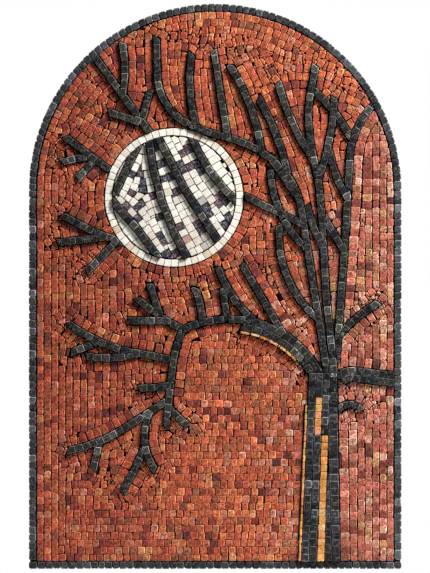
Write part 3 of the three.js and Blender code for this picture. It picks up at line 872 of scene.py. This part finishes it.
def red_colours(places):
    """Red stones on the left, with more and more pink ones among them towards the right side, less so in the
    crown. All colours are made a little darker towards the left side."""
    x, z = places[:, 0], places[:, 1]
    share = (x - PINK_FROM - CROWN_SHIFT * np.maximum(z - CROWN_FROM, 0)) / PINK_OVER
    pink = chance.random(len(places)) < share
    reds, pinks = (drawn(len(places), stones, RED_SPREAD) for stones in (RED_STONES, PINK_STONES))
    # Colours grow darker towards the left side.
    left_darkening = np.interp(x, [-LEFT_DARKENING_SPAN, 0.0], [LEFT_DARKENING, 1.0])
    warm = 1 + np.interp(x, [-LEFT_DARKENING_SPAN, 0.0], [0, 1])[:, None] * WARMTH
    return np.where(pink[:, None], pinks, reds) * left_darkening[:, None] * warm


field_left, field_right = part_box("border_left")[1][0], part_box("border_right")[0][0]
field_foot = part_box("border_foot")[1][2]
arch_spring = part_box("border_left")[1][2]
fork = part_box("trunk_black_left")[1][2]
trunk_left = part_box("trunk_gold_edge")[0][0]
trunk_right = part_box("trunk_black_right")[0][0]
NEAR_BORDER, NEAR_MOON = 0.2 * PITCH, 0.25 * PITCH
NEAR_TRUNK, NEAR_FOOT = 0.5 * PITCH, 0.5 * PITCH


def beside_border(edges):
    """Whether each edge lies along the border: near its straight inner sides or its inner arch."""
    x, z = edges.mean(1).T
    far = np.where(z > arch_spring, np.hypot(x, z - arch_spring), np.abs(x))
    return (far > field_right - NEAR_BORDER) | (z < field_foot + NEAR_BORDER)


def beside_moon(edges):
    return np.abs(np.linalg.norm(edges.mean(1) - moon_centre, axis=1) - moon_radius) < NEAR_MOON


def beside_trunk(edges):
    """Whether each edge lies along the trunk's left side, below the fork, where level rows run up to it."""
    x, z = edges.mean(1).T
    return (z < fork) & (x > trunk_left - NEAR_TRUNK)


def in_level_rows(places):
    """Whether each place is where the rows lie level: under the great bough, and low on the left."""
    x, z = places[:, 0], places[:, 1]
    under_bough = (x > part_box("drooping_bough")[0][0]) & (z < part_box("great_bough")[1][2])
    low_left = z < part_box("drooping_lower_spray")[0][2] + PITCH
    return (x < trunk_right) & (under_bough | low_left)


NARROW = 4 * PITCH
NARROW_COURSES, LEFT_ROWS, ARCH_ROWS = 3, 4, 10


def field_layers(edges):
    """Candidate places for an area of the ground, in the order that they are set: courses along the moon and
    the tree, then rows along the left side and the arch, then straight ones, upright or level. Each row
    further in under the arch is shorter, so it is laid out with a longer pitch along the border."""
    low, high = edges.reshape(-1, 2).min(0), edges.reshape(-1, 2).max(0)
    right_strip = low[0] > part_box("trunk_black_left")[0][0] and high[0] > field_right - PITCH
    lengths = np.linalg.norm(edges[:, 1] - edges[:, 0], axis=1)
    width = np.cross(edges[:, 0], edges[:, 1]).sum() / lengths.sum()
    narrow = width < NARROW and not right_strip
    courses, rows = [], []
    for loop in loops_of(edges):
        x, z = loop.mean(1).T
        border, moon = beside_border(loop), beside_moon(loop)
        tree = ~border & ~moon & ~(beside_trunk(loop) & (not right_strip))
        left_side = border & (x < 0) & (z > field_foot + NEAR_FOOT)
        arch = border & (z >= arch_spring) & ~right_strip
        for layers, chosen, count, radius in (
            (courses, moon, 1, np.inf), (courses, tree, NARROW_COURSES if narrow else 1, np.inf),
            (rows, left_side & ~arch, LEFT_ROWS, np.inf), (rows, arch, ARCH_ROWS, field_right),
        ):
            for run in stretches(loop, chosen) if chosen.any() else []:
                for offset in (np.arange(count) + 0.5) * PITCH:
                    layers.append(course(run, offset, PITCH / (1 - offset / radius)))
    side = field_right if right_strip else field_left
    upright = rows_across(edges, math.pi / 2, np.array([side, field_foot]), PITCH)
    level = rows_across(edges, 0.0, np.array([field_left, field_foot]), PITCH)
    rows += [upright[~in_level_rows(upright)], level[in_level_rows(level)]]
    return courses, rows


RED_JOINTS = 0.12 * MM, 0.55 * MM
RED_WORN = 0.85 * MM
RED_LEVEL_WEAR = 0.35
field_nodes = sorted(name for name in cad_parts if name.startswith("red_field"))
for name in field_nodes:
    edges = outline_of(name)
    area = filled(edges, *field_layers(edges), red_colours, RED_JOINTS, RED_WORN, CORNER_CUT, RED_LEVEL_WEAR)
    piece_of(name + "_tesserae", [area], red_marble, [name])

# Sheet: a coat of grey adhesive, trowelled smooth on the back. Its front, at the foot of the open joints,
# is coloured nearly black.
adhesive = bpy.data.materials.new("adhesive")
adhesive.use_nodes = True
tree = adhesive.node_tree
coat = tree.nodes["Principled BSDF"]
place = tree.nodes.new("ShaderNodeTexCoord").outputs["Object"]
strokes = tree.nodes.new("ShaderNodeMapping")
strokes.inputs["Scale"].default_value = (1.0, 1.0, 5.0)
tree.links.new(place, strokes.inputs["Vector"])
trowelled = noise_node(tree, strokes.outputs["Vector"], 0.0, scale=9.0, detail=6.0)
grit = noise_node(tree, place, 3.0, scale=900.0, detail=2.0)
damp = noise_node(tree, place, 7.0, scale=6.0, detail=3.0)
PALE_GREY = (*colour(172, 168, 158), 1)
MID_GREY = (*colour(136, 132, 125), 1)
DAMP_GREY = (*colour(112, 108, 102), 1)
JOINT_FOOT_DARK = (0.05, 0.045, 0.04, 1)
dry = mixed(tree, ranged(tree, trowelled, 0.35, 0.65, 0.0, 1.0), MID_GREY, PALE_GREY)
stained = mixed(tree, ranged(tree, damp, 0.5, 0.75, 0.0, 0.7), dry, DAMP_GREY)
gritty = mixed(tree, ranged(tree, grit, 0.6, 0.75, 0.0, 0.4), stained, DAMP_GREY)
depth = tree.nodes.new("ShaderNodeSeparateXYZ")
tree.links.new(place, depth.inputs[0])
sheet_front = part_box("backing_sheet")[0][1]
# The sheet's front, seen only at the foot of the open joints, is coloured nearly black.
in_front = ranged(tree, depth.outputs["Y"], sheet_front + 0.1 * MM, sheet_front + 0.5 * MM, 1.0, 0.0)
tree.links.new(mixed(tree, in_front, gritty, JOINT_FOOT_DARK), coat.inputs["Base Color"])
tree.links.new(ranged(tree, grit, 0.3, 0.7, 0.8, 0.95), coat.inputs["Roughness"])
relief = tree.nodes.new("ShaderNodeBump")
relief.inputs["Strength"].default_value = 0.5
relief.inputs["Distance"].default_value = 0.5 * MM
GRIT_SHARE = 0.15
fine_relief = math_node(tree, "MULTIPLY", grit, GRIT_SHARE)
tree.links.new(math_node(tree, "ADD", trowelled, fine_relief), relief.inputs["Height"])
tree.links.new(relief.outputs["Normal"], coat.inputs["Normal"])
sheet_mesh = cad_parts["backing_sheet"].data
sheet_mesh.materials.clear()
sheet_mesh.materials.append(adhesive)

# Mesh: glass-fibre threads, woven over and under each other and pressed into the adhesive, so that on the
# back they stand proud of it by turns. They are cut off just short of the sheet's edge.
THREAD_PITCH = 8.0 * MM
THREAD_HALF_WIDTH = 0.7 * MM
THREAD_HALF_HEIGHT = 0.14 * MM
WEAVE = 0.12 * MM
THREAD_MARGIN = 3.0 * MM


def woven(across, up, within, flip):
    """Threads carried along the second axis of a grid of crossings: at each crossing a flat four-sided
    section, raised and sunk by turns. Joins the sections of crossings within the sheet and closes both ends
    of each thread. Across and up are the grid's positions square to the thread and along it. Returns points
    and faces."""
    rows, columns = across.shape
    parity = (np.arange(rows)[:, None] + np.arange(columns) + flip) % 2
    rise = WEAVE * (2 * parity - 1)
    wide = np.array([-1.0, 1.0, 0.6, -0.6]) * THREAD_HALF_WIDTH
    high = np.array([-1.0, -1.0, 1.0, 1.0]) * THREAD_HALF_HEIGHT
    points = np.stack(np.broadcast_arrays(
        across[..., None] + wide, rise[..., None] + high, up[..., None]), 3)
    index = np.arange(rows * columns).reshape(rows, columns) * 4
    joined = within[:, :-1] & within[:, 1:]
    here, there = index[:, :-1][joined], index[:, 1:][joined]
    k = np.arange(4)
    n = (k + 1) % 4
    walls = np.stack([here[:, None] + k, there[:, None] + k, there[:, None] + n, here[:, None] + n], 2)
    before = np.pad(within, ((0, 0), (1, 0)))[:, :-1]
    after = np.pad(within, ((0, 0), (0, 1)))[:, 1:]
    starts = index[within & ~before][:, None] + k
    ends = index[within & ~after][:, None] + k[::-1]
    faces = np.concatenate([walls.reshape(-1, 4), starts, ends])
    used, faces = np.unique(faces, return_inverse=True)
    return points.reshape(-1, 3)[used], faces.reshape(-1, 4)


sheet_low, sheet_high = (np.array(corner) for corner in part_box("backing_sheet"))
sheet_half = sheet_high[0] - THREAD_MARGIN
sheet_spring = sheet_high[2] - sheet_high[0]
columns = np.arange(-sheet_half, sheet_half, THREAD_PITCH) + (2 * sheet_half % THREAD_PITCH) / 2
lines = np.arange(sheet_low[2] + THREAD_MARGIN, sheet_high[2], THREAD_PITCH)
x, z = np.meshgrid(columns, lines, indexing="ij")
within = np.where(z > sheet_spring, np.hypot(x, z - sheet_spring), np.abs(x)) <= sheet_half
upright_points, upright_faces = woven(x, z, within, 0)
level_points, level_faces = woven(z.T, x.T, within.T, 1)
level_points = level_points[:, [2, 1, 0]]
level_faces = level_faces[:, ::-1]
thread_mesh = bpy.data.meshes.new("mesh_threads")
thread_faces = np.concatenate([upright_faces, level_faces + len(upright_points)])
thread_mesh.from_pydata(np.concatenate([upright_points, level_points]).tolist(), [], thread_faces.tolist())
glass_fibre = bpy.data.materials.new("glass_fibre")
glass_fibre.use_nodes = True
tree = glass_fibre.node_tree
fibre = tree.nodes["Principled BSDF"]
place = tree.nodes.new("ShaderNodeTexCoord").outputs["Object"]
smear = noise_node(tree, place, 1.0, scale=40.0, detail=4.0)
strand = noise_node(tree, place, 5.0, scale=1400.0, detail=2.0)
GLASS_WHITE = (*colour(234, 234, 226), 1)
bare = mixed(tree, ranged(tree, strand, 0.3, 0.6, 0.0, 1.0), PALE_GREY, GLASS_WHITE)
smeared = mixed(tree, ranged(tree, smear, 0.5, 0.65, 0.0, 0.85), bare, MID_GREY)
tree.links.new(smeared, fibre.inputs["Base Color"])
tree.links.new(ranged(tree, smear, 0.4, 0.65, 0.45, 0.85), fibre.inputs["Roughness"])
thread_mesh.materials.append(glass_fibre)
mesh_threads = bpy.data.objects.new("mesh_threads", thread_mesh)
bpy.context.scene.collection.objects.link(mesh_threads)
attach(mesh_threads, "root")
